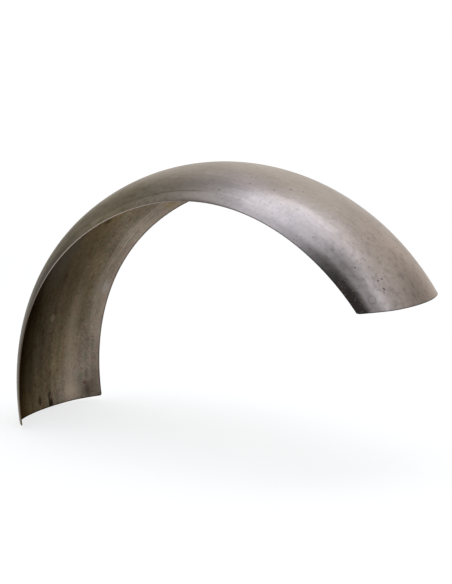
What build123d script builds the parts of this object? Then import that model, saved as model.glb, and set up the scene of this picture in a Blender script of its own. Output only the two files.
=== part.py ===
"""Motorcycle rear fender: one sheet of raw steel, rolled to a crowned section and swept round the wheel.

The origin is on the outside of the crown, straight ahead of the axle, where the frame carries the fender.
+X points to the rear, +Y along the axle to the rider's right and +Z up.
Angles round the axle are measured from +X towards +Z. Lengths are in millimetres.
"""

from build123d import *
import os
from math import asin, cos, degrees, radians, sin

# Arc round the wheel
crown_height = 347.0  # axle to the outside of the crown
front_angle = 188.7  # where the front end is cut square across the arc
tail_angle = 33.3  # where the crown reaches the tail
tail_cut_slope = 4.0  # the tail cut is nearly level

# Section across the sheet, from the crown out to the edge
fender_width = 190.0
sheet_thickness = 1.5
crown_radius = 167.0
shoulder_radius = 62.5
flank_slope = 43.0  # down from level
flank_length = 8.4
lip_bend_radius = 95.0  # a soft bend
lip_slope = 48.5  # the edge is rolled a little further down than the flank
lip_length = 9.3

# Corners of the sheet
front_corner_radius = 2.5
tail_corner_radius = 3.0  # as seen from behind

# The crown arc runs into the shoulder arc at the angle that gives the section its full width
lip_turn = lip_slope - flank_slope
shoulder_reach = shoulder_radius * sin(radians(flank_slope))
flank_reach = flank_length * cos(radians(flank_slope))
lip_bend_reach = lip_bend_radius * (sin(radians(lip_slope)) - sin(radians(flank_slope)))
lip_reach = lip_length * cos(radians(lip_slope))
crown_reach = fender_width / 2 - shoulder_reach - flank_reach - lip_bend_reach - lip_reach
crown_half_angle = degrees(asin(crown_reach / (crown_radius - shoulder_radius)))

axle = Axis((crown_height, 0, 0), (0, 1, 0))


def section_plane(angle):
    """Plane through the axle: local x runs along the axle and local y points out from it."""
    turn = radians(angle)
    return Plane(origin=axle.position, x_dir=(0, 1, 0), z_dir=(sin(turn), 0, -cos(turn)))


def tail_plane():
    """Plane of the tail cut, through the end of the crown, facing the side that is cut away."""
    turn = radians(tail_angle)
    slope = radians(tail_cut_slope)
    crown_end = axle.position + Vector(cos(turn), 0, sin(turn)) * crown_height
    return Plane(origin=crown_end, x_dir=(0, 1, 0), z_dir=(sin(slope), 0, -cos(slope)))


with BuildPart() as fender:
    # Section of the sheet, drawn at the front end
    with BuildSketch(section_plane(front_angle)):
        with BuildLine():
            crown = JernArc((0, crown_height), (1, 0), crown_radius, -crown_half_angle)
            shoulder = JernArc(crown @ 1, crown % 1, shoulder_radius, crown_half_angle - flank_slope)
            flank = PolarLine(shoulder @ 1, flank_length, -flank_slope)
            lip_bend = JernArc(flank @ 1, flank % 1, lip_bend_radius, -lip_turn)
            PolarLine(lip_bend @ 1, lip_length, -lip_slope)
            mirror(about=Plane.YZ)
            offset(amount=sheet_thickness, side=Side.RIGHT)
        make_face()

    # Swept round the axle to the end of the crown
    revolve(axis=axle, revolution_arc=front_angle - tail_angle)

    # Tail trimmed nearly level
    with BuildSketch(tail_plane()):
        Rectangle(2 * fender_width, crown_height)
    extrude(amount=crown_height, mode=Mode.SUBTRACT)

    # Front corners rounded off
    front_end = fender.faces().filter_by(GeomType.PLANE).sort_by(Axis.X)[0]
    front_corners = front_end.edges().sort_by(Axis.Y)
    fillet([front_corners[0], front_corners[-1]], radius=front_corner_radius)

    # Tail corners rounded off, as seen from behind
    tail_end = fender.faces().filter_by(GeomType.PLANE).sort_by(Axis.X)[-1]
    corner_height = tail_end.bounding_box().min.Z
    arc_centre = (fender_width / 2 - tail_corner_radius, corner_height + tail_corner_radius)
    corner_size = 2 * tail_corner_radius
    with BuildSketch(Plane.YZ.offset(crown_height)):
        with Locations(arc_centre):
            Rectangle(corner_size, corner_size, align=(Align.MIN, Align.MAX))
            Circle(tail_corner_radius, mode=Mode.SUBTRACT)
        mirror(about=Plane.YZ)
    extrude(amount=crown_height, mode=Mode.SUBTRACT)

fender.part.label = "fender"

os.makedirs("parts", exist_ok=True)
export_step(fender.part, "parts/fender.step")
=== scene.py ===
# %% [markdown]
# # A motorcycle's rear fender in raw steel
# The object is one sheet of bare steel, rolled to a crowned section and swept round a wheel.
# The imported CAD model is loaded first: it fixes the size, the place and the frame of everything here.
# The wheel's axle is parallel to Y, +X points to the rear and +Z up, and lengths are in metres.

# %% Load the frame
import math
import bpy
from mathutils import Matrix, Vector


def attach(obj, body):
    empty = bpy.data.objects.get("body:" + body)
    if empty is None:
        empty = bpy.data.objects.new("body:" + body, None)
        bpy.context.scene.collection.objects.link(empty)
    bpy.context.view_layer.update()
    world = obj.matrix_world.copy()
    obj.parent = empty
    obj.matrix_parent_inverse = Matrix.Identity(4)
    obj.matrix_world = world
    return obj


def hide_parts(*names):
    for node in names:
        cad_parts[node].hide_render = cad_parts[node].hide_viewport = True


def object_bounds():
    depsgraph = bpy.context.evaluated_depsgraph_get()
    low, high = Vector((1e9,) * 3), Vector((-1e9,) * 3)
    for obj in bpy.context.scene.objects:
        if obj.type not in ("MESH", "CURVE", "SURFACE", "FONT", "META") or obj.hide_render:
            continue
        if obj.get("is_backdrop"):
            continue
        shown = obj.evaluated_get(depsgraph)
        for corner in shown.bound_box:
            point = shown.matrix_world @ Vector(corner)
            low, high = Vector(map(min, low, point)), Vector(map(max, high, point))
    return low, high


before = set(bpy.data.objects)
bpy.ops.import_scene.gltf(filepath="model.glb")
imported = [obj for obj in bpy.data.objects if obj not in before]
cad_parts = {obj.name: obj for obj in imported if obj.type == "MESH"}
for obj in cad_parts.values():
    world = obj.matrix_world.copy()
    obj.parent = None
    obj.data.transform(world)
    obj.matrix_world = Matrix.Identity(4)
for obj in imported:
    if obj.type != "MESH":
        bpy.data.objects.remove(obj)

cad_low, cad_high = (list(corner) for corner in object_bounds())
print("CAD box in mm:", [round((high - low) * 1000, 1) for low, high in zip(cad_low, cad_high)])

# %% [markdown]
# ## Sizes
# A sheet-metal worker marks the bends on the flat blank, as distances from its centre line.
# The same sizes drive the CAD model, so the rolled sheet made here lies exactly where the solid is.

# %% Sizes of the sheet
MM = 0.001
CROWN_HEIGHT = 347.0 * MM  # axle to the outside of the crown
FRONT_ANGLE = math.radians(188.7)  # from +X towards +Z, as are all angles round the axle
TAIL_ANGLE = math.radians(33.3)
TAIL_SLOPE = math.radians(4.0)
WIDTH = 190.0 * MM
THICKNESS = 1.5 * MM
CROWN_RADIUS = 167.0 * MM
SHOULDER_RADIUS = 62.5 * MM
FLANK_SLOPE = math.radians(43.0)
FLANK_LENGTH = 8.4 * MM
LIP_BEND_RADIUS = 95.0 * MM
LIP_SLOPE = math.radians(48.5)
LIP_LENGTH = 9.3 * MM
FRONT_CORNER = 2.5 * MM
TAIL_CORNER = 3.0 * MM
print("outside radius of the crown round the axle in mm:", round(CROWN_HEIGHT / MM, 1))

# %% Bends on the flat blank, measured from its centre line
lip_bend_reach = LIP_BEND_RADIUS * (math.sin(LIP_SLOPE) - math.sin(FLANK_SLOPE))
flat_reach = FLANK_LENGTH * math.cos(FLANK_SLOPE) + LIP_LENGTH * math.cos(LIP_SLOPE)
crown_reach = WIDTH / 2 - SHOULDER_RADIUS * math.sin(FLANK_SLOPE) - lip_bend_reach - flat_reach
crown_turn = math.asin(crown_reach / (CROWN_RADIUS - SHOULDER_RADIUS))
shoulder_mark = CROWN_RADIUS * crown_turn
flank_mark = shoulder_mark + SHOULDER_RADIUS * (FLANK_SLOPE - crown_turn)
lip_bend_mark = flank_mark + FLANK_LENGTH
lip_mark = lip_bend_mark + LIP_BEND_RADIUS * (LIP_SLOPE - FLANK_SLOPE)
half_blank = lip_mark + LIP_LENGTH
blank_length = CROWN_HEIGHT * (FRONT_ANGLE - TAIL_ANGLE)
print("flat blank in mm:", round(blank_length / MM, 1), "by", round(2 * half_blank / MM, 1))

# %% Depth of the section, from the crown down to the edge
arc_depth = CROWN_RADIUS * (1 - math.cos(crown_turn))
arc_depth += SHOULDER_RADIUS * (math.cos(crown_turn) - math.cos(FLANK_SLOPE))
arc_depth += LIP_BEND_RADIUS * (math.cos(FLANK_SLOPE) - math.cos(LIP_SLOPE))
flat_depth = FLANK_LENGTH * math.sin(FLANK_SLOPE) + LIP_LENGTH * math.sin(LIP_SLOPE)
section_depth = arc_depth + flat_depth
print("depth of the section in mm:", round(section_depth / MM, 2))

# %% [markdown]
# ## Two small helpers
# Colours are written as sRGB hex values, as a colour picker shows them, and Blender calculates in linear
# light. The second helper adds any node to any tree: it sets what the node needs and links what it is
# given. Most inputs are named by their place. Map Range takes a value as 0, the range that it comes from
# as 1 and 2, and the range that it goes to as 3 and 4. Mix takes its share as 0 and its two colours as 6
# and 7.

# %% Helpers
def linear(hex_colour):
    """sRGB hex to the linear colour that Blender works in."""
    values = [int(hex_colour[i:i + 2], 16) / 255 for i in (1, 3, 5)]
    return tuple(v / 12.92 if v <= 0.04045 else ((v + 0.055) / 1.055) ** 2.4 for v in values) + (1.0,)


def put(tree, kind, inputs=None, **settings):
    """Adds a node, sets it, and links or fills its inputs. A node as an input means its first output."""
    made = tree.nodes.new(kind)
    for name, value in settings.items():
        setattr(made, name, value)
    for key, value in (inputs or {}).items():
        if isinstance(value, bpy.types.Node):
            value = value.outputs[0]
        if isinstance(value, bpy.types.NodeSocket):
            tree.links.new(value, made.inputs[key])
        else:
            made.inputs[key].default_value = value
    return made


print("middle grey in linear light:", round(linear("#808080")[0], 3))

# %% [markdown]
# ## The rolled sheet
# The real fender starts as a flat blank that goes through a rolling machine, so the mesh starts as a flat
# blank too. A lattice or a sweep along a curve could bend it, but the shape follows a rule, and Geometry
# Nodes can apply that rule to every point of the blank: first across the sheet, which gives the section,
# then round the axle. The free edges of such a sheet are never quite true, so they wander in and out by
# about a millimetre.

# %% Tree and its named sizes
EDGE_WANDER = 1.3 * MM
WANDER_SPACING = math.radians(70)  # round the axle, from one wave of the edge to the next
WANDER_START = math.radians(115)  # where the edges lie furthest in
roll = bpy.data.node_groups.new("rolled_sheet", "GeometryNodeTree")
roll.interface.new_socket("Sheet", in_out="OUTPUT", socket_type="NodeSocketGeometry")
sizes = {
    "Crown height": CROWN_HEIGHT, "Front angle": FRONT_ANGLE, "Tail slope": TAIL_SLOPE,
    "Tail cut": CROWN_HEIGHT * math.sin(TAIL_ANGLE - TAIL_SLOPE),
    "Thickness": THICKNESS, "Half width": WIDTH / 2, "Half blank": half_blank, "Blank length": blank_length,
    "Shoulder mark": shoulder_mark, "Flank mark": flank_mark,
    "Lip bend mark": lip_bend_mark, "Lip mark": lip_mark,
    "Crown turn": crown_turn, "Shoulder turn": FLANK_SLOPE - crown_turn,
    "Lip turn": LIP_SLOPE - FLANK_SLOPE,
    "Front corner": FRONT_CORNER, "Tail corner": TAIL_CORNER,
    "Edge wander": EDGE_WANDER, "Wander start": WANDER_START, "Waves per turn": math.tau / WANDER_SPACING,
}
sockets = {}
for name, value in sizes.items():
    sockets[name] = roll.interface.new_socket(name, in_out="INPUT", socket_type="NodeSocketFloat")
    sockets[name].default_value = value
for name in ("Outside finish", "Inside finish"):
    sockets[name] = roll.interface.new_socket(name, in_out="INPUT", socket_type="NodeSocketMaterial")
group_in = put(roll, "NodeGroupInput")
size = {name: group_in.outputs[name] for name in sizes}
print("named sizes of the rolling tree:", len(sizes))

# %% Section: a line of short steps, each a little steeper than the one before
STEPS = 400
step = put(roll, "ShaderNodeMath", {0: size["Half blank"], 1: STEPS}, operation="DIVIDE")
index = put(roll, "GeometryNodeInputIndex")
mid_step = put(roll, "ShaderNodeMath", {0: index, 1: 0.5}, operation="ADD")
distance = put(roll, "ShaderNodeMath", {0: mid_step, 1: step}, operation="MULTIPLY")
bends = (
    (0.0, size["Shoulder mark"], size["Crown turn"]),
    (size["Shoulder mark"], size["Flank mark"], size["Shoulder turn"]),
    (size["Lip bend mark"], size["Lip mark"], size["Lip turn"]),
)
slope = 0.0
for bend_start, bend_end, bend_turn in bends:
    bend = put(roll, "ShaderNodeMapRange", {0: distance, 1: bend_start, 2: bend_end, 3: 0.0, 4: bend_turn})
    slope = put(roll, "ShaderNodeMath", {0: slope, 1: bend}, operation="ADD")
run = put(roll, "ShaderNodeMath", {0: slope}, operation="COSINE")
drop = put(roll, "ShaderNodeMath", {0: slope}, operation="SINE")
drop = put(roll, "ShaderNodeMath", {0: drop, 1: -1.0}, operation="MULTIPLY")
heading = put(roll, "ShaderNodeCombineXYZ", {0: run, 1: drop})
stride = put(roll, "ShaderNodeVectorMath", {0: heading, "Scale": step}, operation="SCALE")
walked = put(roll, "GeometryNodeAccumulateField", {0: stride}, data_type="FLOAT_VECTOR", domain="POINT")
points = put(roll, "GeometryNodeMeshLine", {"Count": STEPS + 1}, mode="OFFSET", count_mode="TOTAL")
bent = put(roll, "GeometryNodeSetPosition", {0: points, "Position": walked.outputs["Trailing"]})
section = put(roll, "GeometryNodeMeshToCurve", {0: bent})
print("steps from the centre line to the edge:", STEPS)

# %% Flat blank: a closed box of quads, one sheet thick
ALONG, ACROSS = 241, 161
blank_width = put(roll, "ShaderNodeMath", {0: size["Half blank"], 1: 2.0}, operation="MULTIPLY")
blank_sides = {0: size["Blank length"], 1: blank_width, 2: size["Thickness"]}
blank_size = put(roll, "ShaderNodeCombineXYZ", blank_sides)
points_each_way = {"Vertices X": ALONG, "Vertices Y": ACROSS, "Vertices Z": 2}
blank = put(roll, "GeometryNodeMeshCube", {0: blank_size, **points_each_way})
place = put(roll, "ShaderNodeSeparateXYZ", {0: put(roll, "GeometryNodeInputPosition")})
along = put(roll, "ShaderNodeMath", {0: place.outputs[0], 1: size["Blank length"]}, operation="DIVIDE")
along = put(roll, "ShaderNodeMath", {0: along, 1: 0.5}, operation="ADD")
across = place.outputs[1]
from_centre = put(roll, "ShaderNodeMath", {0: across}, operation="ABSOLUTE")
below = put(roll, "ShaderNodeMath", {0: size["Thickness"], 1: 0.5}, operation="MULTIPLY")
below = put(roll, "ShaderNodeMath", {0: below, 1: place.outputs[2]}, operation="SUBTRACT")
print("points of the blank:", ALONG, "by", ACROSS)

# %% Bend across: each point of the blank finds its place on the section
on_section = put(roll, "GeometryNodeSampleCurve", {"Curves": section, "Length": from_centre}, mode="LENGTH")
tangent = put(roll, "ShaderNodeSeparateXYZ", {0: on_section.outputs["Tangent"]})
inward = put(roll, "ShaderNodeMath", {0: tangent.outputs[0], 1: -1.0}, operation="MULTIPLY")
inward = put(roll, "ShaderNodeCombineXYZ", {0: tangent.outputs[1], 1: inward})
inward = put(roll, "ShaderNodeVectorMath", {0: inward, "Scale": below}, operation="SCALE")
bent_place = {0: on_section.outputs["Position"], 1: inward}
bent_place = put(roll, "ShaderNodeVectorMath", bent_place, operation="ADD")
bent_place = put(roll, "ShaderNodeSeparateXYZ", {0: bent_place})
side = put(roll, "ShaderNodeMath", {0: across}, operation="SIGN")
reach = put(roll, "ShaderNodeMath", {0: bent_place.outputs[0], 1: side}, operation="MULTIPLY")
true_radius = {0: bent_place.outputs[1], 1: size["Crown height"]}
true_radius = put(roll, "ShaderNodeMath", true_radius, operation="ADD")
print("nodes in the rolling tree so far:", len(roll.nodes))

# %% Round corners: how far one cuts back, by how far out a point lies
def cut_back(out, edge, corner):
    """None where the corner starts, its whole radius at the edge, and a quarter circle between."""
    start = put(roll, "ShaderNodeMath", {0: edge, 1: corner}, operation="SUBTRACT")
    into_corner = put(roll, "ShaderNodeMapRange", {0: out, 1: start, 2: edge})
    around = put(roll, "ShaderNodeMath", {0: into_corner}, operation="ARCSINE")
    level = put(roll, "ShaderNodeMath", {0: around}, operation="COSINE")
    share = put(roll, "ShaderNodeMath", {0: 1.0, 1: level}, operation="SUBTRACT")
    return put(roll, "ShaderNodeMath", {0: share, 1: corner}, operation="MULTIPLY")


print("round corners in mm:", round(FRONT_CORNER / MM, 1), "and", round(TAIL_CORNER / MM, 1))

# %% Tail: the angle at which each point meets the nearly level cut, or the rounding of its corner
edge_radius = CROWN_HEIGHT - section_depth - THICKNESS * math.cos(LIP_SLOPE)
corner_angle = TAIL_SLOPE + math.asin(sizes["Tail cut"] / edge_radius)
corner_height = edge_radius * math.sin(corner_angle)
tail = put(roll, "ShaderNodeMath", {0: size["Tail cut"], 1: true_radius}, operation="DIVIDE")
tail = put(roll, "ShaderNodeMath", {0: tail}, operation="ARCSINE")
tail = put(roll, "ShaderNodeMath", {0: tail, 1: size["Tail slope"]}, operation="ADD")
out = put(roll, "ShaderNodeMath", {0: reach}, operation="ABSOLUTE")
lift = cut_back(out, size["Half width"], size["Tail corner"])
lift = put(roll, "ShaderNodeMath", {0: lift, 1: corner_height}, operation="ADD")
lift = put(roll, "ShaderNodeMath", {0: lift, 1: true_radius}, operation="DIVIDE")
lift = put(roll, "ShaderNodeMath", {0: lift}, operation="ARCSINE")
tail = put(roll, "ShaderNodeMath", {0: tail, 1: lift}, operation="MAXIMUM")
print("height of the tail's corners over the axle in mm:", round(corner_height / MM, 2))

# %% Front: square across the arc, with smaller round corners
trim = cut_back(from_centre, size["Half blank"], size["Front corner"])
trim = put(roll, "ShaderNodeMath", {0: trim, 1: true_radius}, operation="DIVIDE")
front = put(roll, "ShaderNodeMath", {0: size["Front angle"], 1: trim}, operation="SUBTRACT")
print("front end at degrees:", round(math.degrees(FRONT_ANGLE), 1))

# %% Wander of the free edges: none on the crown, most at the edge
WANDER_GROWTH = 3.0  # the higher, the nearer to the edge it sets in
turn = put(roll, "ShaderNodeMix", {0: along, 2: front, 3: tail}, data_type="FLOAT")
wave = put(roll, "ShaderNodeMath", {0: turn, 1: size["Wander start"]}, operation="SUBTRACT")
wave = put(roll, "ShaderNodeMath", {0: wave, 1: size["Waves per turn"]}, operation="MULTIPLY")
wave = put(roll, "ShaderNodeMath", {0: wave}, operation="COSINE")
wave = put(roll, "ShaderNodeMath", {0: wave, 1: size["Edge wander"]}, operation="MULTIPLY")
edgeward = put(roll, "ShaderNodeMath", {0: from_centre, 1: size["Half blank"]}, operation="DIVIDE")
edgeward = put(roll, "ShaderNodeMath", {0: edgeward, 1: WANDER_GROWTH}, operation="POWER")
wave = put(roll, "ShaderNodeMath", {0: wave, 1: edgeward}, operation="MULTIPLY")
radius = put(roll, "ShaderNodeMath", {0: true_radius, 1: wave}, operation="SUBTRACT")
print("edges wander by mm:", round(EDGE_WANDER / MM, 1))

# %% Roll round the axle
cosine = put(roll, "ShaderNodeMath", {0: turn}, operation="COSINE")
sine = put(roll, "ShaderNodeMath", {0: turn}, operation="SINE")
x = put(roll, "ShaderNodeMath", {0: cosine, 1: radius, 2: size["Crown height"]}, operation="MULTIPLY_ADD")
z = put(roll, "ShaderNodeMath", {0: sine, 1: radius}, operation="MULTIPLY")
rolled_place = put(roll, "ShaderNodeCombineXYZ", {0: x, 1: reach, 2: z})
print("degrees rolled round the axle:", round(math.degrees(FRONT_ANGLE - TAIL_ANGLE), 1))

# %% Keep each point's place on the flat blank for the finish, and its distance from the tail, then move it
BLANK_PLACE = "blank"
TAIL_DISTANCE = "to_tail"
arc = put(roll, "ShaderNodeMath", {0: size["Front angle"], 1: turn}, operation="SUBTRACT")
arc = put(roll, "ShaderNodeMath", {0: arc, 1: size["Crown height"]}, operation="MULTIPLY")
through = put(roll, "ShaderNodeMath", {0: below, 1: size["Thickness"]}, operation="DIVIDE")
on_blank = put(roll, "ShaderNodeCombineXYZ", {0: arc, 1: across, 2: through})
to_tail = put(roll, "ShaderNodeMath", {0: turn, 1: tail}, operation="SUBTRACT")
to_tail = put(roll, "ShaderNodeMath", {0: to_tail, 1: true_radius}, operation="MULTIPLY")
marked = blank
for name, value, data_type in ((BLANK_PLACE, on_blank, "FLOAT_VECTOR"), (TAIL_DISTANCE, to_tail, "FLOAT")):
    kept = {0: marked, "Name": name, "Value": value}
    marked = put(roll, "GeometryNodeStoreNamedAttribute", kept, data_type=data_type, domain="POINT")
rolled = put(roll, "GeometryNodeSetPosition", {0: marked, "Position": rolled_place})
smooth = put(roll, "GeometryNodeSetShadeSmooth", {0: rolled}, domain="FACE")
real = put(roll, "GeometryNodeRealizeInstances", {0: smooth})
print("kept with each point:", BLANK_PLACE, "and", TAIL_DISTANCE)

# %% Two finishes: rubbed outside and on the edges, oily inside
INNER_FACE = 0.75  # through the sheet, from 0 outside to 1 inside
outside = {0: real, "Material": group_in.outputs["Outside finish"]}
outside = put(roll, "GeometryNodeSetMaterial", outside)
blank_place = put(roll, "GeometryNodeInputNamedAttribute", {"Name": BLANK_PLACE}, data_type="FLOAT_VECTOR")
through_face = put(roll, "ShaderNodeSeparateXYZ", {0: blank_place}).outputs[2]
inner_face = put(roll, "ShaderNodeMath", {0: through_face, 1: INNER_FACE}, operation="GREATER_THAN")
inside = {0: outside, "Selection": inner_face, "Material": group_in.outputs["Inside finish"]}
finished = put(roll, "GeometryNodeSetMaterial", inside)
put(roll, "NodeGroupOutput", {0: finished})
print("nodes in the rolling tree:", len(roll.nodes))

# %% [markdown]
# ## Marks on the sheet
# Both finishes are drawn on the flat blank, so every mark lies where it lay before the sheet was rolled.
# Rolls leave streaks along the sheet, handling leaves clouds, and the metal itself has a fine mottle.
# An image could hold such marks, but noise that is stretched to a real size stays sharp at any distance.

# %% Sizes of the marks, and what both finishes start from
PATTERNS = {  # length along the sheet, width across it, detail
    "clouds": (75.0 * MM, 45.0 * MM, 6.0),
    "tints": (150.0 * MM, 90.0 * MM, 3.0),
    "mottle": (6.0 * MM, 6.0 * MM, 3.0),
    "streaks": (90.0 * MM, 3.0 * MM, 3.0),
    "bands": (180.0 * MM, 9.0 * MM, 5.0),
    "stains": (11.0 * MM, 9.0 * MM, 2.0),
    "ripples": (80.0 * MM, 80.0 * MM, 1.0),
    "blotches": (16.0 * MM, 9.0 * MM, 4.0),
    "grit": (2.8 * MM, 2.8 * MM, 2.0),  # coarser than real grit, so that a picture can hold it
}
NOISE_LOW, NOISE_HIGH = 0.3, 0.7  # most of a noise lies between these
NOISE_ROUGHNESS = 0.6
FACE_SHIFT = 5.0  # how far a pattern moves between the two faces of the sheet, in its own lengths


def start_finish(name):
    """A new bare material, its tree, and the place on the flat blank that its marks are laid out by."""
    material = bpy.data.materials.new(name)
    material.use_nodes = True
    tree = material.node_tree
    tree.nodes.clear()
    on_sheet = put(tree, "ShaderNodeAttribute", attribute_name=BLANK_PLACE, attribute_type="GEOMETRY")
    return material, tree, on_sheet.outputs["Vector"]


def pattern(tree, spot, name):
    """Noise of a real size, from 0 to 1 and mostly near the middle."""
    length, width, detail = PATTERNS[name]
    scales = (1 / length, 1 / width, FACE_SHIFT)
    scaled = put(tree, "ShaderNodeVectorMath", {0: spot, 1: scales}, operation="MULTIPLY")
    noise = {"Vector": scaled, "Scale": 1.0, "Detail": detail, "Roughness": NOISE_ROUGHNESS}
    return put(tree, "ShaderNodeTexNoise", noise)


print("patterns:", ", ".join(PATTERNS))

# %% Marks that are placed one by one, with a torn outline
RAGGED = 2.5 * MM  # how far an outline strays


def ragged_place(tree, spot, mottle):
    """The same place, pushed about by the metal's mottle."""
    push = {0: mottle.outputs["Color"], 1: (0.5, 0.5, 0.5)}
    push = put(tree, "ShaderNodeVectorMath", push, operation="SUBTRACT")
    push = put(tree, "ShaderNodeVectorMath", {0: push, "Scale": 2 * RAGGED}, operation="SCALE")
    return put(tree, "ShaderNodeVectorMath", {0: push, 1: spot}, operation="ADD")


def blot(tree, spot, along, across, length, width, rim):
    """An oval, placed in mm from the front and from the centre line: 1 inside it, 0 past its soft rim."""
    centre = (along * MM, across * MM, 0.0)
    away = put(tree, "ShaderNodeVectorMath", {0: spot, 1: centre}, operation="SUBTRACT")
    scales = (2 / (length * MM), 2 / (width * MM), 0.0)
    away = put(tree, "ShaderNodeVectorMath", {0: away, 1: scales}, operation="MULTIPLY")
    away = put(tree, "ShaderNodeVectorMath", {0: away}, operation="LENGTH").outputs["Value"]
    fall = {0: away, 1: 1.0 - rim, 2: 1.0 + rim, 3: 1.0, 4: 0.0}
    return put(tree, "ShaderNodeMapRange", fall, interpolation_type="SMOOTHSTEP")


print("outlines stray by mm:", round(RAGGED / MM, 1))

# %% [markdown]
# ## Bare rolled steel, rubbed
# The outside is mild steel as it came off the rolls, rubbed down and left bare: satin, and grey rather
# than bright. Damp has left fine pits in it, most near the tail, and brown stains where hands and water
# reach its near edge. Some marks are painted light: shade along the near edge and over the front leg,
# highlights on the flank, the lip and by the tail, and a cooler tint where the highlight falls. One even
# grey would look like plastic, so each kind of mark is a layer of its own.

# %% Where a point lies: from the front, off the centre line (far side positive) and through the sheet
rubbed_steel, skin, skin_spot = start_finish("bare_rolled_steel_rubbed")
from_front, to_far_side, through_sheet = put(skin, "ShaderNodeSeparateXYZ", {0: skin_spot}).outputs
off_centre = put(skin, "ShaderNodeMath", {0: to_far_side}, operation="ABSOLUTE")
mottle = pattern(skin, skin_spot, "mottle")
ragged = ragged_place(skin, skin_spot, mottle)
ragged_side = put(skin, "ShaderNodeSeparateXYZ", {0: ragged}).outputs[1]
print("outside finish:", rubbed_steel.name)

# %% Where each mark sets in or ends along the sheet
STRETCHES = {  # mm from the front: nothing at the first place, full at the second
    "olive": (660, 480), "brown tail": (760, 860), "stains": (720, 880),
    "lip start": (280, 420), "lip end": (660, 600),
    "crease shade start": (400, 520), "crease shade end": (615, 590),
    "crease highlight start": (615, 635), "crease highlight end": (700, 650),
    "grime_and_shade": (770, 900), "near_edge_shade": (500, 600),
    "leg shade start": (-60, 120), "faint leg shade end": (390, 250), "heavy leg shade end": (430, 300),
    "browned front": (310, 180), "browned tail": (560, 660),
}
GENTLE = ("lip start", "grime_and_shade")  # these set in gently, the others evenly
stretch = {}
for name, (nothing, full) in STRETCHES.items():
    rise = "SMOOTHSTEP" if name in GENTLE else "LINEAR"
    places = {0: from_front, 1: nothing * MM, 2: full * MM}
    stretch[name] = put(skin, "ShaderNodeMapRange", places, interpolation_type=rise)
print("stretches along the sheet:", len(stretch))

# %% Pepper and pits: the finest are drawn twice their size, so that a picture can hold them
PEPPER_GAP = 4.5 * MM
PIT_GAP = 14.0 * MM
NO_PEPPER = 0.35  # share of the places that stay clean
FEW_UP_TO, MANY_FROM = 450 * MM, 850 * MM  # from the front
FEW_PITS, MANY_PITS = 0.12, 0.7  # share of the places that hold a pit there
tailward = {0: from_front, 1: FEW_UP_TO, 2: MANY_FROM, 3: FEW_PITS, 4: MANY_PITS}
tailward = put(skin, "ShaderNodeMapRange", tailward)
dots = {}
dot_kinds = (  # name, gap, then the dot's core and its rim as shares of the gap
    ("pepper", PEPPER_GAP, 0.1, 0.27),
    ("pits", PIT_GAP, 0.04, 0.1),
)
for name, gap, core, rim in dot_kinds:
    cells = put(skin, "ShaderNodeTexVoronoi", {"Vector": skin_spot, "Scale": 1 / gap, "Randomness": 1.0})
    dot = put(skin, "ShaderNodeMapRange", {0: cells.outputs["Distance"], 1: core, 2: rim, 3: 1.0, 4: 0.0})
    chance = put(skin, "ShaderNodeSeparateXYZ", {0: cells.outputs["Color"]}).outputs[0]
    if name == "pepper":
        chosen = put(skin, "ShaderNodeMapRange", {0: chance, 1: NO_PEPPER, 2: 1.0})
    else:
        chosen = put(skin, "ShaderNodeMath", {0: chance, 1: tailward}, operation="LESS_THAN")
    dots[name] = put(skin, "ShaderNodeMath", {0: dot, 1: chosen}, operation="MULTIPLY")
print("dots:", ", ".join(dots))

# %% The deepest pits and the ring that a drop has left, placed one by one
PIT_RIM = 0.4
deep_pits = (  # mm from the front, mm from the centre line, width in mm
    (903, -62, 3.5), (890, -62, 2.5), (890, -55, 2.5), (860, -76, 2.5),
    (729, -31, 2.5), (715, -38, 2.5), (701, -56, 2.5), (666, -61, 2.5),
    (500, -104, 2.0), (515, -104, 2.5), (529, -103, 2.0),
)
deep = 0.0
for along_mm, across_mm, wide in deep_pits:
    pit = blot(skin, ragged, along_mm, across_mm, wide, wide, PIT_RIM)
    deep = put(skin, "ShaderNodeMath", {0: deep, 1: pit}, operation="MAXIMUM")
RING_AT = (907, -83)
RING_OUTSIDE, RING_INSIDE = (13.0, 11.05), (9.1, 7.15)  # length and width in mm
RING_RIM = 0.3
drop_edge = blot(skin, ragged, *RING_AT, *RING_OUTSIDE, RING_RIM)
dried_middle = blot(skin, ragged, *RING_AT, *RING_INSIDE, RING_RIM)
ring = put(skin, "ShaderNodeMath", {0: drop_edge, 1: dried_middle}, operation="SUBTRACT")
print("deep pits:", len(deep_pits))

# %% Colour: warm grey on the crown, and cooler on the flanks as a painted tint of the highlight that falls there
WARM_STEEL, HIGHLIGHT_TINTED_STEEL = "#ada298", "#aca1a0"
CROWN, FLANK = 20 * MM, 65 * MM  # off the centre line
CROWN_LEAN, FLANK_LEAN = -0.12, 0.36  # how far the tints lean to the cooler grey there
ALL_WARM, ALL_COOL = 0.25, 0.85
# the lean to the cooler grey on the flanks is painted highlight tint, and the noise of the tints is the
# steel's own
cool_and_highlight_tint = put(skin, "ShaderNodeMapRange", {0: off_centre, 1: CROWN, 2: FLANK, 3: CROWN_LEAN, 4: FLANK_LEAN})
cool_and_highlight_tint = put(skin, "ShaderNodeMath", {0: pattern(skin, skin_spot, "tints"), 1: cool_and_highlight_tint}, operation="ADD")
cool_and_highlight_tint = put(skin, "ShaderNodeMapRange", {0: cool_and_highlight_tint, 1: ALL_WARM, 2: ALL_COOL})
steel_colours = {0: cool_and_highlight_tint, 6: linear(WARM_STEEL), 7: linear(HIGHLIGHT_TINTED_STEEL)}
colour = put(skin, "ShaderNodeMix", steel_colours, data_type="RGBA").outputs[2]
print("steel from", WARM_STEEL, "to", HIGHLIGHT_TINTED_STEEL)

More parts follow.
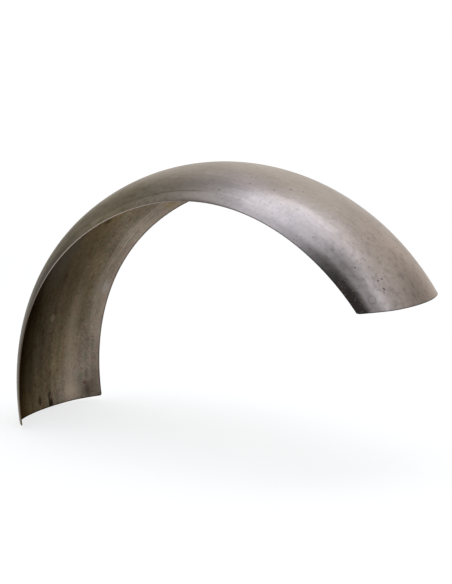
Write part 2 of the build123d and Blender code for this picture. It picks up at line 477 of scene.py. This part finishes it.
# %% Tints: olive at the front, strongest on the near side and blotched with green, and brown at the tail
OLIVE, GREEN, BROWN = "#918671", "#6a6650", "#ae9d92"
OLIVE_NEAR, OLIVE_FAR = 1.0, 0.6  # strengths
GREEN_STRENGTH = 0.45
BROWN_CROWN, BROWN_FLANK = 0.85, 0.34
olive_side = {0: to_far_side, 1: -80 * MM, 2: -20 * MM, 3: OLIVE_NEAR, 4: OLIVE_FAR}
olive_side = put(skin, "ShaderNodeMapRange", olive_side)
olive = put(skin, "ShaderNodeMath", {0: stretch["olive"], 1: olive_side}, operation="MULTIPLY")
green = {0: pattern(skin, skin_spot, "blotches"), 1: 0.5, 2: 0.62, 4: GREEN_STRENGTH}
green = put(skin, "ShaderNodeMapRange", green)
green = put(skin, "ShaderNodeMath", {0: green, 1: olive}, operation="MULTIPLY")
brown_side = {0: off_centre, 1: 45 * MM, 2: 75 * MM, 3: BROWN_CROWN, 4: BROWN_FLANK}
brown_side = put(skin, "ShaderNodeMapRange", brown_side)
brown = put(skin, "ShaderNodeMath", {0: stretch["brown tail"], 1: brown_side}, operation="MULTIPLY")
tints = ((olive, OLIVE), (green, GREEN), (brown, BROWN))
for tint, hex_colour in tints:
    tinted = {0: tint, 6: colour, 7: linear(hex_colour)}
    colour = put(skin, "ShaderNodeMix", tinted, data_type="RGBA").outputs[2]
print("tints on the steel:", len(tints))

# %% Lip: paler along its middle, partly wear and partly painted highlight, with a thin line where it bends away, first painted shade and then painted highlight
LIP_SOFTNESS = 4.0 * MM
LINE_CORE, LINE_RIM = 0.4 * MM, 1.4 * MM
CREASE_FRONT, CREASE_TAIL = 450 * MM, 640 * MM  # from the front
CREASE_OUT, CREASE_IN = 95.5 * MM, 89.3 * MM  # off the centre line, at these two places
crease = {0: from_front, 1: CREASE_FRONT, 2: CREASE_TAIL, 3: CREASE_OUT, 4: CREASE_IN}
crease = put(skin, "ShaderNodeMapRange", crease)
past_crease = put(skin, "ShaderNodeMath", {0: off_centre, 1: crease}, operation="SUBTRACT")
lip = {0: past_crease, 1: 0.0, 2: LIP_SOFTNESS}
lip = put(skin, "ShaderNodeMapRange", lip, interpolation_type="SMOOTHSTEP")
# the thin line is painted shade, and further on painted highlight, where the lip bends away
crease_shade_and_highlight = put(skin, "ShaderNodeMath", {0: past_crease}, operation="ABSOLUTE")
crease_shade_and_highlight = put(skin, "ShaderNodeMapRange", {0: crease_shade_and_highlight, 1: LINE_CORE, 2: LINE_RIM, 3: 1.0, 4: 0.0})
lip_and_crease_light = {"lip": lip, "crease shade": crease_shade_and_highlight, "crease highlight": crease_shade_and_highlight}
for name in lip_and_crease_light:
    for end in ("start", "end"):
        kept = {0: lip_and_crease_light[name], 1: stretch[f"{name} {end}"]}
        lip_and_crease_light[name] = put(skin, "ShaderNodeMath", kept, operation="MULTIPLY")
print("marks along the lip:", len(lip_and_crease_light))

# %% Clouds, mottle and streaks darken or brighten the colour a little
shade = 1.0
noises = (("clouds", 0.88, 1.08), ("mottle", 0.92, 1.07), ("streaks", 0.95, 1.04))  # darkest, brightest
for name, low, high in noises:
    noise = mottle if name == "mottle" else pattern(skin, skin_spot, name)
    change = put(skin, "ShaderNodeMapRange", {0: noise, 1: NOISE_LOW, 2: NOISE_HIGH, 3: low, 4: high})
    shade = put(skin, "ShaderNodeMath", {0: shade, 1: change}, operation="MULTIPLY")
print("noises on the outside:", len(noises))

# %% Single marks darken or brighten it more, some of them painted highlight and painted shade
stains = put(skin, "ShaderNodeMapRange", {0: pattern(skin, skin_spot, "stains"), 1: 0.52, 2: 0.66})
stains = put(skin, "ShaderNodeMath", {0: stains, 1: stretch["stains"]}, operation="MULTIPLY")
marks = [(dots["pepper"], -0.42), (dots["pits"], -0.6), (deep, -0.65), (ring, -0.22), (stains, -0.22),
         (lip_and_crease_light["crease shade"], -0.2), (lip_and_crease_light["lip"], 0.28), (lip_and_crease_light["crease highlight"], 0.15)]
placed_marks_and_light = (  # mm from the front, mm from the centre line, length, width, rim, change of brightness
    (915, -72, 26, 20, 0.8, 0.15),  # painted highlight by the tail
    (922, 10, 70, 60, 0.9, -0.2),  # darker at the end of the crown
    (635, -50, 110, 46, 0.9, -0.2),  # painted shade over the upper flank
    (745, -84, 130, 26, 0.8, 0.14),  # painted highlight on the near flank
    (406, -100, 30, 6, 0.8, 0.25),  # a scuff
)
for *oval, strength in placed_marks_and_light:
    marks.append((blot(skin, ragged, *oval), strength))
for mark, strength in marks:
    change = put(skin, "ShaderNodeMath", {0: mark, 1: strength, 2: 1.0}, operation="MULTIPLY_ADD")
    shade = put(skin, "ShaderNodeMath", {0: shade, 1: change}, operation="MULTIPLY")
colour = put(skin, "ShaderNodeVectorMath", {0: colour, "Scale": shade}, operation="SCALE")
coats = []  # what lies on the steel, painted shade among it, from the bottom up: how much of it, and its colour
print("kinds of mark on the outside:", len(marks))

# %% Grime and painted shade along the near edge towards the tail, with specks of rust in it
GRIME_AND_SHADE_STRENGTH = 0.76
SPECK_GAP = 2.6 * MM
SPECK_SHARE = 0.4  # of the places that could hold one
SPECK_CORE, SPECK_RIM = 0.2, 0.42  # shares of the gap
NO_DARKENING, FULL_DARKENING = -89 * MM, -99.5 * MM  # from the centre line, on the near side
grime_and_shade = {0: ragged_side, 1: NO_DARKENING, 2: FULL_DARKENING}
grime_and_shade = put(skin, "ShaderNodeMapRange", grime_and_shade, interpolation_type="SMOOTHSTEP")
grime_and_shade = put(skin, "ShaderNodeMath", {0: grime_and_shade, 1: stretch["grime_and_shade"]}, operation="MULTIPLY")
grime_and_shade = put(skin, "ShaderNodeMath", {0: grime_and_shade, 1: GRIME_AND_SHADE_STRENGTH}, operation="MULTIPLY")
cells = put(skin, "ShaderNodeTexVoronoi", {"Vector": skin_spot, "Scale": 1 / SPECK_GAP, "Randomness": 1.0})
speck = {0: cells.outputs["Distance"], 1: SPECK_CORE, 2: SPECK_RIM, 3: 1.0, 4: 0.0}
speck = put(skin, "ShaderNodeMapRange", speck)
chance = put(skin, "ShaderNodeSeparateXYZ", {0: cells.outputs["Color"]}).outputs[1]
chosen = put(skin, "ShaderNodeMath", {0: chance, 1: SPECK_SHARE}, operation="LESS_THAN")
speck = put(skin, "ShaderNodeMath", {0: speck, 1: chosen}, operation="MULTIPLY")
speck = put(skin, "ShaderNodeMath", {0: speck, 1: grime_and_shade}, operation="MULTIPLY")
# the dark colour here is partly grime and partly painted shade of the near edge
coats += [(grime_and_shade, linear("#2a2018")), (speck, linear("#a9987c"))]
print("gap between specks in mm:", round(SPECK_GAP / MM, 1))

# %% Painted shade over the near flank of the front leg: faint on the flank, heavier at the edge
leg_shade_bands = (  # where it ends, mm from the centre line where there is none and where it is full, strength
    ("faint leg shade end", -50, -85, 0.62),
    ("heavy leg shade end", -90, -102, 0.34),
)
painted_leg_shade = 0.0
for band_end, none_mm, full_mm, strength in leg_shade_bands:
    band = {0: to_far_side, 1: none_mm * MM, 2: full_mm * MM, 4: strength}
    band = put(skin, "ShaderNodeMapRange", band)
    painted_leg_shade = put(skin, "ShaderNodeMath", {0: band, 1: stretch[band_end], 2: painted_leg_shade}, operation="MULTIPLY_ADD")
painted_leg_shade = put(skin, "ShaderNodeMath", {0: painted_leg_shade, 1: stretch["leg shade start"]}, operation="MULTIPLY")
# painted shade, in a dark brown, over the front leg's near flank
coats.append((painted_leg_shade, linear("#2a2012")))
print("bands of film on the front leg:", len(leg_shade_bands))

# %% Sheared edges: clean along the middle stretch, browned towards both ends, and a strip of painted shade along the near edge towards the tail
CLEAN_EDGE, BROWN_EDGE, EDGE_SHADE = "#ad9f9a", "#5a4c3e", "#4e4238"
EDGE_STARTS, EDGE_FULL = 0.05, 0.15  # through the sheet, from 0 outside to 1 inside
WIDE_UP_TO, NARROW_FROM = 600 * MM, 680 * MM  # from the front: the strip of painted shade narrows between these
WIDE_EDGE_SHADE, NARROW_EDGE_SHADE = -102.5 * MM, -106.3 * MM  # from the centre line, on the near side
FULL_EDGE_SHADE = -107.8 * MM
EDGE_SHADE_STRENGTH = 0.7
edge = put(skin, "ShaderNodeMapRange", {0: through_sheet, 1: EDGE_STARTS, 2: EDGE_FULL})
browned = {0: stretch["browned front"], 1: stretch["browned tail"]}
browned = put(skin, "ShaderNodeMath", browned, operation="MAXIMUM")
edge_colours = {0: browned, 6: linear(CLEAN_EDGE), 7: linear(BROWN_EDGE)}
edge_colour = put(skin, "ShaderNodeMix", edge_colours, data_type="RGBA").outputs[2]
near_edge_shade_reach = {0: from_front, 1: WIDE_UP_TO, 2: NARROW_FROM, 3: WIDE_EDGE_SHADE, 4: NARROW_EDGE_SHADE}
near_edge_shade_reach = put(skin, "ShaderNodeMapRange", near_edge_shade_reach)
# a dark strip of painted shade along the near edge
near_edge_shade = put(skin, "ShaderNodeMapRange", {0: to_far_side, 1: near_edge_shade_reach, 2: FULL_EDGE_SHADE, 4: EDGE_SHADE_STRENGTH})
near_edge_shade = put(skin, "ShaderNodeMath", {0: near_edge_shade, 1: stretch["near_edge_shade"]}, operation="MULTIPLY")
coats += [(edge, edge_colour), (near_edge_shade, linear(EDGE_SHADE))]
print("edge from", CLEAN_EDGE, "to", BROWN_EDGE)

# %% A dark line at the tail's cut, and then every coat over the steel, painted shade among them
to_tail = put(skin, "ShaderNodeAttribute", attribute_name=TAIL_DISTANCE, attribute_type="GEOMETRY")
TAIL_CORE, TAIL_RIM = 0.6 * MM, 1.8 * MM  # from the cut
TAIL_STRENGTH = 0.75
tail_line = {0: to_tail.outputs["Fac"], 1: TAIL_CORE, 2: TAIL_RIM, 3: TAIL_STRENGTH, 4: 0.0}
tail_line = put(skin, "ShaderNodeMapRange", tail_line)
coats.append((tail_line, linear("#3a3029")))
for coat, coat_colour in coats:
    coated = {0: coat, 6: colour, 7: coat_colour}
    colour = put(skin, "ShaderNodeMix", coated, data_type="RGBA").outputs[2]
print("coats over the steel:", len(coats))

# %% Satin sheen, duller where it is clouded, on a sheet that is never quite flat
RIPPLE_HEIGHT = 0.35 * MM
GRAIN_HEIGHT = 0.1 * MM
GRAIN_STRENGTH = 0.1
DULL, BRIGHT = 0.37, 0.3  # roughness
OLIVE_DULLS = 0.1
clouds = pattern(skin, skin_spot, "clouds")
roughness = {0: clouds, 1: NOISE_LOW, 2: NOISE_HIGH, 3: DULL, 4: BRIGHT}
roughness = put(skin, "ShaderNodeMapRange", roughness)
roughness = put(skin, "ShaderNodeMath", {0: olive, 1: OLIVE_DULLS, 2: roughness}, operation="MULTIPLY_ADD")
ripples = {"Strength": 1.0, "Distance": RIPPLE_HEIGHT, "Height": pattern(skin, skin_spot, "ripples")}
ripples = put(skin, "ShaderNodeBump", ripples)
grain = {"Strength": GRAIN_STRENGTH, "Distance": GRAIN_HEIGHT, "Height": mottle, "Normal": ripples}
grain = put(skin, "ShaderNodeBump", grain)
metallic = put(skin, "ShaderNodeMath", {0: 1.0, 1: speck}, operation="SUBTRACT")  # rust is not metal
steel = {"Base Color": colour, "Metallic": metallic, "Roughness": roughness, "Normal": grain,
         "Specular Tint": linear("#f4f0ea")}
put(skin, "ShaderNodeOutputMaterial", {0: put(skin, "ShaderNodeBsdfPrincipled", steel)})
print("nodes in the outside finish:", len(skin.nodes))

# %% [markdown]
# ## Bare rolled steel, oily
# The inside has never been rubbed: old rolling oil has dried on it in a brown film, thick along the near
# side. Its colour is also painted shade: darker than the oil alone, so that the white paper seen in it
# stays dim. Oil dulls the metal and tints even what it reflects at a low angle, so the shader's edge tint
# is brown too. A clear coat over metal could show the oil, but it would shine, and this film has dried
# dull.
# Two runs of oil stand at the front end, and pale and dark lines along the far flank are painted highlight
# and painted shade of small roll creases.

# %% Where a point lies, as on the outside
oily_steel, film, film_spot = start_finish("bare_rolled_steel_oily")
film_front, film_side = put(film, "ShaderNodeSeparateXYZ", {0: film_spot}).outputs[:2]
film_mottle = pattern(film, film_spot, "mottle")
film_ragged = ragged_place(film, film_spot, film_mottle)
print("inside finish:", oily_steel.name)

# %% Colour of the film, with painted shade: darkest along the near side, thinner towards the far edge and near the front end
# these browns are partly the oil's own and partly painted shade, dark enough that the white paper seen in
# the inside stays dim
film_and_shade_stops = {0.0: "#312b23", 0.35: "#4e4437", 0.7: "#746550", 1.0: "#918376"}  # from thick to thin
THICKEST, THINNEST = -50 * MM, 95 * MM  # measured across from the edge of the thick film
thick_edge = -45 * MM  # where that edge lies at the front end, from the centre line
thick_moves = (  # mm from the front: start and end of a stretch, then how far the thick edge moves in it
    (10, 85, 45), (85, 170, 22), (230, 320, -22),
)
for from_mm, to_mm, move_mm in thick_moves:
    move = {0: film_front, 1: from_mm * MM, 2: to_mm * MM, 3: 0.0, 4: move_mm * MM}
    move = put(film, "ShaderNodeMapRange", move)
    thick_edge = put(film, "ShaderNodeMath", {0: thick_edge, 1: move}, operation="ADD")
thin = put(film, "ShaderNodeMath", {0: film_side, 1: thick_edge}, operation="SUBTRACT")
thin = put(film, "ShaderNodeMapRange", {0: thin, 1: THICKEST, 2: THINNEST})
film_and_shade_ramp = put(film, "ShaderNodeValToRGB", {0: thin})
while len(film_and_shade_ramp.color_ramp.elements) < len(film_and_shade_stops):
    film_and_shade_ramp.color_ramp.elements.new(0.5)
for element, (position, hex_colour) in zip(film_and_shade_ramp.color_ramp.elements, film_and_shade_stops.items()):
    element.position = position
    element.color = linear(hex_colour)
print("steps in the film's colour:", len(film_and_shade_stops))

# %% Clouds, bands and grit in the film, and blotches that are greener or redder
film_shade = 1.0
film_noises = (("clouds", 0.68, 1.1), ("mottle", 0.85, 1.12), ("bands", 0.78, 1.18), ("grit", 0.79, 1.21))
for name, low, high in film_noises:
    noise = film_mottle if name == "mottle" else pattern(film, film_spot, name)
    change = put(film, "ShaderNodeMapRange", {0: noise, 1: NOISE_LOW, 2: NOISE_HIGH, 3: low, 4: high})
    film_shade = put(film, "ShaderNodeMath", {0: film_shade, 1: change}, operation="MULTIPLY")
film_colour = put(film, "ShaderNodeVectorMath", {0: film_and_shade_ramp, "Scale": film_shade}, operation="SCALE")
blotches = pattern(film, film_spot, "blotches")
blotch_tints = ((0.5, 0.66, "#e3f3e8"), (0.47, 0.32, "#d6cbc6"))  # noise where none, where full, tint
for none, full, hex_colour in blotch_tints:
    blotch = put(film, "ShaderNodeMapRange", {0: blotches, 1: none, 2: full})
    tinted = {0: blotch, 6: film_colour, 7: linear(hex_colour)}
    film_colour = put(film, "ShaderNodeMix", tinted, data_type="RGBA", blend_type="MULTIPLY").outputs[2]
print("noises in the film:", len(film_noises) + 1)

# %% Runs, spots and patches, placed one by one
patches = (  # mm from the front, mm from the centre line, length, width, rim, colour, strength
    (4, 20, 40, 8, 0.25, "#1c140d", 0.85),  # a run of oil
    (15, 21, 9, 4, 0.6, "#6a5c48", 0.7),  # its thin top
    (14, -3, 14, 8, 0.6, "#1c140d", 0.75),  # a second run, half wiped off
    (14, 62, 22, 22, 0.9, "#b3a390", 0.6),  # bare metal showing through
    (143, 20, 12, 10, 0.5, "#8a7d68", 0.25),  # a dried drop
    (144, 53, 4, 3.5, 0.5, "#1e170d", 0.7),  # four dark spots
    (215, 24, 3.5, 3, 0.5, "#1e170d", 0.7),
    (271, 19, 3.5, 2.5, 0.5, "#1e170d", 0.6),
    (256, 2, 3, 2.5, 0.5, "#1e170d", 0.6),
    (201, 99, 20, 10, 0.8, "#a6a2a6", 0.5),  # blue-grey, where the film has lifted
    (13, 87, 20, 14, 0.9, "#41322f", 0.55),  # a dark cloud at the front end
    (205, 50, 170, 72, 0.7, "#453b2d", 0.35),  # a broad cloud of painted shade
    (60, 61, 200, 20, 0.95, "#b3a390", 0.3),  # rubbed thin along the bend
    (330, 93, 130, 16, 0.8, "#b3a696", 0.3),  # rubbed thin near the far edge, in two places
    (190, 92, 110, 18, 0.8, "#a09788", 0.3),
    (300, -15, 160, 60, 0.8, "#7a7773", 0.32),  # grey dust near the edge
    (372, 81, 60, 24, 0.8, "#4a4334", 0.35),  # darker at the top
    (325, 42, 12, 9, 0.8, "#352823", 0.5),  # a red-brown stain
    (339, 64, 18, 12, 0.8, "#6f6d5a", 0.45),  # a grey-green stain
    (412, 98, 26, 11, 0.8, "#8a7a50", 0.5),  # a yellow stain at the top
    (2, 106, 9, 7, 0.6, "#2a2119", 0.8),  # the burnt corner
)
film_coats_and_light = []  # what lies on the film, painted light and shade among it, from the bottom up: how much of it, and its colour
for *oval, hex_colour, strength in patches:
    patch = blot(film, film_ragged, *oval)
    patch = put(film, "ShaderNodeMath", {0: patch, 1: strength}, operation="MULTIPLY")
    film_coats_and_light.append((patch, hex_colour))
print("patches inside:", len(patches))

# %% Roll creases: thin lines along the far flank, pale and dark by turns, as painted highlight and painted shade
ROLL_CORE, ROLL_RIM = 0.3 * MM, 1.4 * MM
ROLL_FRONT, ROLL_TOP = 150 * MM, 450 * MM  # from the front
ROLL_OUT, ROLL_IN = 93.5 * MM, 87.5 * MM  # from the centre line, at these two places
FAINT_UP_TO, CLEAR_FROM = 100 * MM, 240 * MM  # from the front
FAINT = 0.15
roll_place = {0: film_front, 1: ROLL_FRONT, 2: ROLL_TOP, 3: ROLL_OUT, 4: ROLL_IN}
roll_place = put(film, "ShaderNodeMapRange", roll_place)
broken = put(film, "ShaderNodeMapRange", {0: pattern(film, film_spot, "streaks"), 1: 0.4, 2: 0.6})
roll_start = put(film, "ShaderNodeMapRange", {0: film_front, 1: FAINT_UP_TO, 2: CLEAR_FROM, 3: FAINT})
broken = put(film, "ShaderNodeMath", {0: broken, 1: roll_start}, operation="MULTIPLY")
roll_crease_lights = (  # mm towards the centre line, strength, colour
    (0.0, 0.35, "#b8ab9a"), (-1.9, 0.4, "#4a4034"), (-3.8, 0.4, "#b8a690"),
    (3.8, 0.2, "#b8ab9a"), (2.0, 0.25, "#4a4034"),
)
for inset_mm, strength, hex_colour in roll_crease_lights:
    crease_light_line = put(film, "ShaderNodeMath", {0: film_side, 1: roll_place}, operation="SUBTRACT")
    crease_light_line = put(film, "ShaderNodeMath", {0: crease_light_line, 1: inset_mm * MM}, operation="ADD")
    crease_light_line = put(film, "ShaderNodeMath", {0: crease_light_line}, operation="ABSOLUTE")
    crease_light_line = {0: crease_light_line, 1: ROLL_CORE, 2: ROLL_RIM, 3: strength, 4: 0.0}
    crease_light_line = put(film, "ShaderNodeMapRange", crease_light_line)
    crease_light_line = put(film, "ShaderNodeMath", {0: crease_light_line, 1: broken}, operation="MULTIPLY")
    film_coats_and_light.append((crease_light_line, hex_colour))
print("roll marks:", len(roll_crease_lights))

# %% Edges: a bare strip along the far edge, and dark lines where the sheet was sheared, then every coat, painted light and shade among them
BARE_STRENGTH, FAR_STRENGTH, FRONT_STRENGTH = 0.38, 0.5, 0.7
strip = put(film, "ShaderNodeMapRange", {0: film_side, 1: 98 * MM, 2: 104 * MM, 4: BARE_STRENGTH})
far_line = put(film, "ShaderNodeMapRange", {0: film_side, 1: 105.5 * MM, 2: 107 * MM, 4: FAR_STRENGTH})
front_line = {0: film_front, 1: 1.0 * MM, 2: 2.5 * MM, 3: FRONT_STRENGTH, 4: 0.0}
front_line = put(film, "ShaderNodeMapRange", front_line)
sheared = put(film, "ShaderNodeMath", {0: far_line, 1: front_line}, operation="MAXIMUM")
film_coats_and_light += [(strip, "#a59488"), (sheared, "#2c241c")]
for coat, hex_colour in film_coats_and_light:
    coated = {0: coat, 6: film_colour, 7: linear(hex_colour)}
    film_colour = put(film, "ShaderNodeMix", coated, data_type="RGBA").outputs[2]
print("coats over the film:", len(film_coats_and_light))

# %% A dull film over metal
FILM_DULL, FILM_BRIGHT = 0.5, 0.4  # roughness
film_clouds = pattern(film, film_spot, "clouds")
film_roughness = {0: film_clouds, 1: NOISE_LOW, 2: NOISE_HIGH, 3: FILM_DULL, 4: FILM_BRIGHT}
film_roughness = put(film, "ShaderNodeMapRange", film_roughness)
oiled = {"Base Color": film_colour, "Metallic": 1.0, "Roughness": film_roughness,
         "Specular Tint": linear("#a79e8e")}
put(film, "ShaderNodeOutputMaterial", {0: put(film, "ShaderNodeBsdfPrincipled", oiled)})
print("nodes in the inside finish:", len(film.nodes))

# %% [markdown]
# ## Making the sheet
# The tree runs as a modifier, and a fine bevel takes the sharpness off the sheared edges, as a file does.
# The result is then made a plain mesh, because only a plain mesh can be handed on with its marks and
# finishes.

# %% Roll it and deburr it
DEBURRED = 0.25 * MM
SHEARED_ANGLE = math.radians(50)  # an edge that turns more sharply than this was sheared
fender_sheet = bpy.data.objects.new("fender_sheet", bpy.data.meshes.new("fender_sheet"))
bpy.context.scene.collection.objects.link(fender_sheet)
rolling = fender_sheet.modifiers.new("rolling", "NODES")
rolling.node_group = roll
for name, value in sizes.items():
    rolling[sockets[name].identifier] = value
rolling[sockets["Outside finish"].identifier] = rubbed_steel
rolling[sockets["Inside finish"].identifier] = oily_steel
deburr = fender_sheet.modifiers.new("deburred edges", "BEVEL")
deburr.width = DEBURRED
deburr.segments = 2
deburr.limit_method = "ANGLE"
deburr.angle_limit = SHEARED_ANGLE
deburr.harden_normals = True
bpy.context.view_layer.update()
evaluated = fender_sheet.evaluated_get(bpy.context.evaluated_depsgraph_get())
plain = bpy.data.meshes.new_from_object(evaluated)
fender_sheet.modifiers.clear()
fender_sheet.data = plain
print("sheet:", len(plain.vertices), "points,", len(plain.polygons), "faces")

# %% Keep the two finishes only: the box of the blank brings an empty slot with it
slots = list(plain.materials)
finish_of_face = [0] * len(plain.polygons)
plain.polygons.foreach_get("material_index", finish_of_face)
plain.materials.clear()
for finish in (rubbed_steel, oily_steel):
    plain.materials.append(finish)
plain.polygons.foreach_set("material_index", [int(slots[i] == oily_steel) for i in finish_of_face])
print("finishes:", [material.name for material in plain.materials])

# %% It rides on the only body and stands for the CAD node
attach(fender_sheet, "root")
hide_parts("fender")
print("pieces that ride:", fender_sheet.name)

# %% [markdown]
# ## Studio
# The fender stands on white paper under four soft lights, with a white backdrop behind it and a dim room
# around. Bare metal shows little of its own: what the eye reads as steel is this room, bent by the sheet.
# So the lights are set out from the camera: the largest above, the backdrop beyond, and darkness behind the
# lens.

# %% Where the camera looks from
AZIMUTH = math.radians(32.649)
ELEVATION = math.radians(11.922)
DISTANCE = 1.8855
TARGET = Vector((0.33805, 0.0, 0.1690))
to_the_right = Vector((math.cos(AZIMUTH), math.sin(AZIMUTH), 0.0))
to_the_back = Vector((-math.sin(AZIMUTH), math.cos(AZIMUTH), 0.0))
to_the_camera = -to_the_back * math.cos(ELEVATION) + Vector((0.0, 0.0, math.sin(ELEVATION)))
print("camera stands at", [round(v, 3) for v in TARGET + to_the_camera * DISTANCE])

# %% Paper floor: it keeps the shadow, and a glow that only the eye and the metal see makes it white
FLOOR_SIZE = 40.0
PAPER = (0.55, 0.55, 0.55, 1)
NEAR, FAR = 0.8, 4.0  # metres from the middle of the fender
NEAR_GLOW, FAR_GLOW = 0.72, 0.9
bpy.ops.mesh.primitive_plane_add(size=FLOOR_SIZE, location=(0, 0, cad_low[2]))
floor = bpy.context.object
floor.name = "floor"
white_paper = bpy.data.materials.new("white_paper")
white_paper.use_nodes = True
paper = white_paper.node_tree
paper.nodes.clear()
light_path = put(paper, "ShaderNodeLightPath").outputs
seen = {0: light_path["Is Camera Ray"], 1: light_path["Is Glossy Ray"]}
seen = put(paper, "ShaderNodeMath", seen, operation="MAXIMUM")
seen = put(paper, "ShaderNodeMath", {0: seen, 1: light_path["Is Transmission Ray"]}, operation="MAXIMUM")
floor_spot = put(paper, "ShaderNodeTexCoord").outputs["Object"]
away = put(paper, "ShaderNodeVectorMath", {0: floor_spot, 1: TARGET}, operation="DISTANCE").outputs["Value"]
glow = put(paper, "ShaderNodeMapRange", {0: away, 1: NEAR, 2: FAR, 3: NEAR_GLOW, 4: FAR_GLOW})
glow = put(paper, "ShaderNodeMath", {0: glow, 1: seen}, operation="MULTIPLY")
diffuse = put(paper, "ShaderNodeBsdfDiffuse", {0: PAPER})
glow = put(paper, "ShaderNodeEmission", {0: (1, 1, 1, 1), 1: glow})
put(paper, "ShaderNodeOutputMaterial", {0: put(paper, "ShaderNodeAddShader", {0: diffuse, 1: glow})})
floor.data.materials.append(white_paper)
floor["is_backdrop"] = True
print("floor lies at", round(cad_low[2] / MM, 1), "mm")

# %% Room: bright backdrop beyond the object, dim sides, dark behind the camera
BACKDROP_TURN = math.radians(-10)  # the backdrop's bright middle, to the right of the view
room_stops = {0.05: 0.04, 0.2: 0.1, 0.35: 0.32, 0.73: 0.42}  # from 0 opposite that middle to 1 at it: grey
world = bpy.data.worlds.new("studio")
world.use_nodes = True
bpy.context.scene.world = world
room = world.node_tree
room.nodes.clear()
light_path = put(room, "ShaderNodeLightPath").outputs
direction = put(room, "ShaderNodeTexCoord").outputs["Generated"]
level_way = put(room, "ShaderNodeVectorMath", {0: direction, 1: (1, 1, 0)}, operation="MULTIPLY")
level_way = put(room, "ShaderNodeVectorMath", {0: level_way}, operation="NORMALIZE")
backdrop_way = (-math.sin(AZIMUTH + BACKDROP_TURN), math.cos(AZIMUTH + BACKDROP_TURN), 0.0)
facing = put(room, "ShaderNodeVectorMath", {0: level_way, 1: backdrop_way}, operation="DOT_PRODUCT")
facing = put(room, "ShaderNodeMapRange", {0: facing.outputs["Value"], 1: -1.0, 2: 1.0})
room_ramp = put(room, "ShaderNodeValToRGB", {0: facing})
while len(room_ramp.color_ramp.elements) < len(room_stops):
    room_ramp.color_ramp.elements.new(0.5)
for element, (position, grey) in zip(room_ramp.color_ramp.elements, room_stops.items()):
    element.position = position
    element.color = (grey, grey, grey, 1)
dim_room = put(room, "ShaderNodeBackground", {0: room_ramp})
white = put(room, "ShaderNodeBackground", {0: (1, 1, 1, 1), 1: 1.0})
print("steps in the room's brightness:", len(room_stops))

# %% White for the camera all round, and for the metal where the backdrop stands
BACKDROP_EDGE, BACKDROP_MIDDLE = 0.7, 0.96  # on the scale of the room's brightness
BACKDROP_FALL = 2.0  # the higher, the softer its edge
backdrop = put(room, "ShaderNodeMapRange", {0: facing, 1: BACKDROP_EDGE, 2: BACKDROP_MIDDLE})
backdrop = put(room, "ShaderNodeMath", {0: backdrop, 1: BACKDROP_FALL}, operation="POWER")
mirrored = {0: light_path["Is Glossy Ray"], 1: light_path["Is Transmission Ray"]}
mirrored = put(room, "ShaderNodeMath", mirrored, operation="MAXIMUM")
mirrored = put(room, "ShaderNodeMath", {0: mirrored, 1: backdrop}, operation="MULTIPLY")
seen = put(room, "ShaderNodeMath", {0: light_path["Is Camera Ray"], 1: mirrored}, operation="MAXIMUM")
put(room, "ShaderNodeOutputWorld", {0: put(room, "ShaderNodeMixShader", {0: seen, 1: dim_room, 2: white})})
print("nodes in the room:", len(room.nodes))

# %% Soft lights: a turned scrim above, and panels beyond the tail, at the near side and at the front
# Each is placed by how far it lies to the right and to the back for each metre of its height.
DAYLIGHT = "#ecf6ff"
SCRIM_TURN = math.radians(35)  # its long axis, from the view's right towards the back
soft_lights = {
    "scrim": {"height": 2.5, "right": 0.14, "back": -0.16, "size": (3.2, 2.05), "level": 1.5},
    "tail_panel": {"height": 1.8, "right": 1.0, "back": -0.25, "size": (3.4, 1.4), "level": 0.52},
    "side_panel": {"height": 1.6, "right": 0.68, "back": -0.95, "size": (1.1, 1.0), "level": 1.14},
    "front_panel": {"height": 2.0, "right": -0.42, "back": -0.15, "size": (1.2, 1.1), "level": 0.84},
}
for name, plan in soft_lights.items():
    lamp = bpy.data.lights.new(name, "AREA")
    lamp.shape = "ELLIPSE"
    lamp.color = linear(DAYLIGHT)[:3]
    lamp.size, lamp.size_y = plan["size"]
    area = math.pi / 4 * lamp.size * lamp.size_y
    lamp.energy = plan["level"] * math.pi * area
    lamp_object = bpy.data.objects.new(name, lamp)
    lean = to_the_right * plan["right"] + to_the_back * plan["back"] + Vector((0.0, 0.0, 1.0))
    lamp_object.location = TARGET + lean * plan["height"]
    if name == "scrim":
        lamp_object.rotation_euler = (0.0, 0.0, AZIMUTH + SCRIM_TURN)
    else:
        lamp_object.rotation_euler = lean.to_track_quat("Z", "Y").to_euler()
    bpy.context.scene.collection.objects.link(lamp_object)
    print(name, "gives", round(lamp.energy, 1), "watts")

# %% [markdown]
# ## Camera
# The camera stands where the photograph was taken from, as found by fitting the fender's outline to it.

# %% Camera
PICTURE_HEIGHT = 584  # in pixels
FOCAL_LENGTH = 1381.42  # in pixels of that picture
camera = bpy.data.cameras.new("camera")
camera.sensor_width = 36.0
camera.lens = FOCAL_LENGTH * camera.sensor_width / PICTURE_HEIGHT
camera_object = bpy.data.objects.new("camera", camera)
camera_object.location = TARGET + to_the_camera * DISTANCE
camera_object.rotation_euler = (math.pi / 2 - ELEVATION, 0.0, AZIMUTH)
bpy.context.scene.collection.objects.link(camera_object)
bpy.context.scene.camera = camera_object
bpy.context.scene.view_settings.view_transform = "Standard"
print("lens in mm:", round(camera.lens, 1))

# %% [markdown]
# ## The visual box
# The picture has to keep inside the box of the part that it stands for. The box of the picture is
# written down after that of the CAD model, so that the two can be compared.

# %% Sizes
low, high = (list(corner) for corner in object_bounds())
print("visual box in mm:", [round((b - a) * 1000, 1) for a, b in zip(low, high)])
